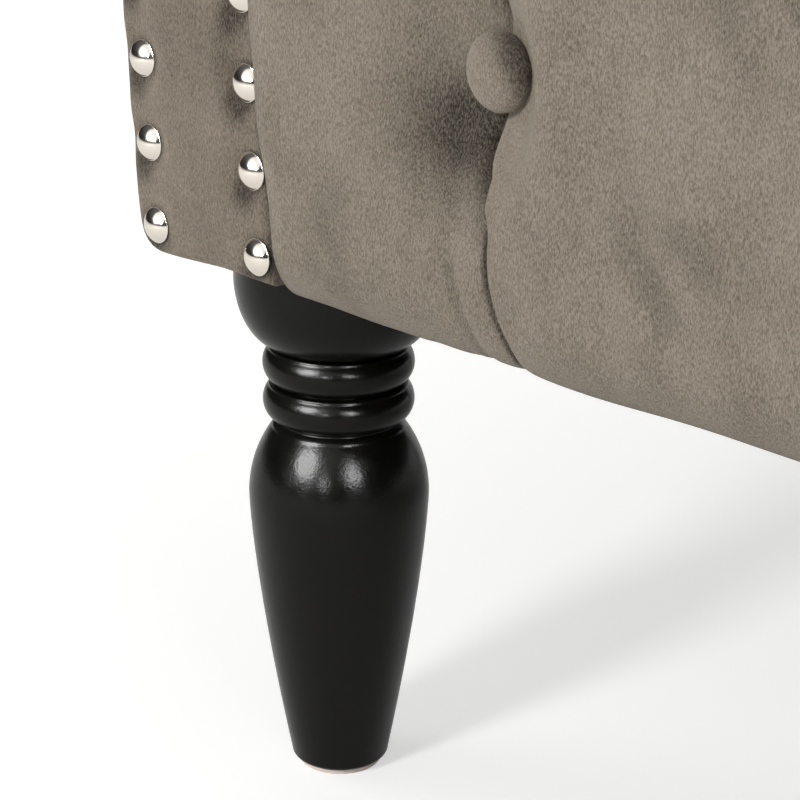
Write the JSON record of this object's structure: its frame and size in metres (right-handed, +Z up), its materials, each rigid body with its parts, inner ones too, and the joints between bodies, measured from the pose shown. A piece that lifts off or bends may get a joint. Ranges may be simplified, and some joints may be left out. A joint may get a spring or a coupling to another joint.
{
  "type": "loveseat",
  "caption": "Two-seat sofa with rolled arms and back, buttoned velvet upholstery, nailhead-trimmed arm panels, loose seat cushions and turned wooden legs.",
  "frame": {"origin": "on the floor, under the middle of the whole sofa's box", "axes": "+Z up; +X to the right seen from in front; the front faces -Y"},
  "size_m": [1.541, 0.78, 0.74],
  "materials": {
    "velvet": "short-pile taupe velvet with a soft sheen",
    "black_lacquered_wood": "turned hardwood in satin black lacquer",
    "polished_nickel": "polished nickel nailheads",
    "nylon_glide": "pale nylon",
    "timber": "kiln-dried hardwood and plywood, planed",
    "zinc_steel": "zinc-plated steel",
    "spring_steel": "oiled spring wire",
    "burlap": "woven burlap",
    "webbing": "woven webbing",
    "foam": "open-cell foam",
    "deck_cloth": "plain black deck cloth",
    "dust_cloth": "black non-woven dust cloth",
    "zip_tape": "woven tape with coil teeth",
    "nickel_zip": "plated zip slider"
  },
  "bodies": {
    "sofa_frame": {"seat_front_board": "timber", "seat_back_board": "timber", "seat_side_board_left": "timber", "seat_side_board_right": "timber", "seat_centre_board": "timber", "corner_blocks": "timber", "arm_front_post_left": "timber", "arm_front_post_right": "timber", "arm_back_post_left": "timber", "arm_back_post_right": "timber", "arm_bottom_rail_left": "timber", "arm_bottom_rail_right": "timber", "arm_top_rail_left": "timber", "arm_top_rail_right": "timber", "back_posts": "timber", "back_bottom_rail": "timber", "back_top_rail": "timber", "front_leg_left": "black_lacquered_wood", "front_leg_right": "black_lacquered_wood", "back_leg_left": "black_lacquered_wood", "back_leg_right": "black_lacquered_wood", "leg_glides": "nylon_glide", "leg_bolts": "zinc_steel", "leg_nuts": "zinc_steel", "seat_springs": "spring_steel", "spring_clips": "zinc_steel", "seat_burlap": "burlap", "seat_deck_pad": "foam", "seat_deck_cover": "deck_cloth", "back_webbing": "webbing", "arm_webbing": "webbing", "rail_cover": "velvet", "back_foam": "foam", "back_cover": "velvet", "arm_foam_left": "foam", "arm_foam_right": "foam", "arm_cover_left": "velvet", "arm_cover_right": "velvet", "panel_board_left": "timber", "panel_board_right": "timber", "panel_cover_left": "velvet", "panel_cover_right": "velvet", "nailheads_left": "polished_nickel", "nailheads_right": "polished_nickel", "outer_arm_cover_left": "velvet", "outer_arm_cover_right": "velvet", "outer_back_cover": "velvet", "dust_cover": "dust_cloth", "rail_buttons": "velvet", "back_buttons": "velvet", "arm_buttons_left": "velvet", "arm_buttons_right": "velvet"},
    "cushion_left": {"cushion_left": "velvet", "cushion_core_left": "foam", "cushion_zip_left": "zip_tape"},
    "cushion_right": {"cushion_right": "velvet", "cushion_core_right": "foam", "cushion_zip_right": "zip_tape"},
    "zip_slider_left": {"zip_slider_left": "nickel_zip"},
    "zip_slider_right": {"zip_slider_right": "nickel_zip"}
  },
  "joints": [
    {"name": "cushion_left_lift", "type": "slide", "parent": "sofa_frame", "child": "cushion_left", "axis": [0, 0, 1], "range_m": [0, 0.42]},
    {"name": "cushion_right_lift", "type": "slide", "parent": "sofa_frame", "child": "cushion_right", "axis": [0, 0, 1], "range_m": [0, 0.42]},
    {"name": "zip_left_pull", "type": "slide", "parent": "cushion_left", "child": "zip_slider_left", "axis": [1, 0, 0], "range_m": [0, 0.461]},
    {"name": "zip_right_pull", "type": "slide", "parent": "cushion_right", "child": "zip_slider_right", "axis": [1, 0, 0], "range_m": [0, 0.461]}
  ]
}
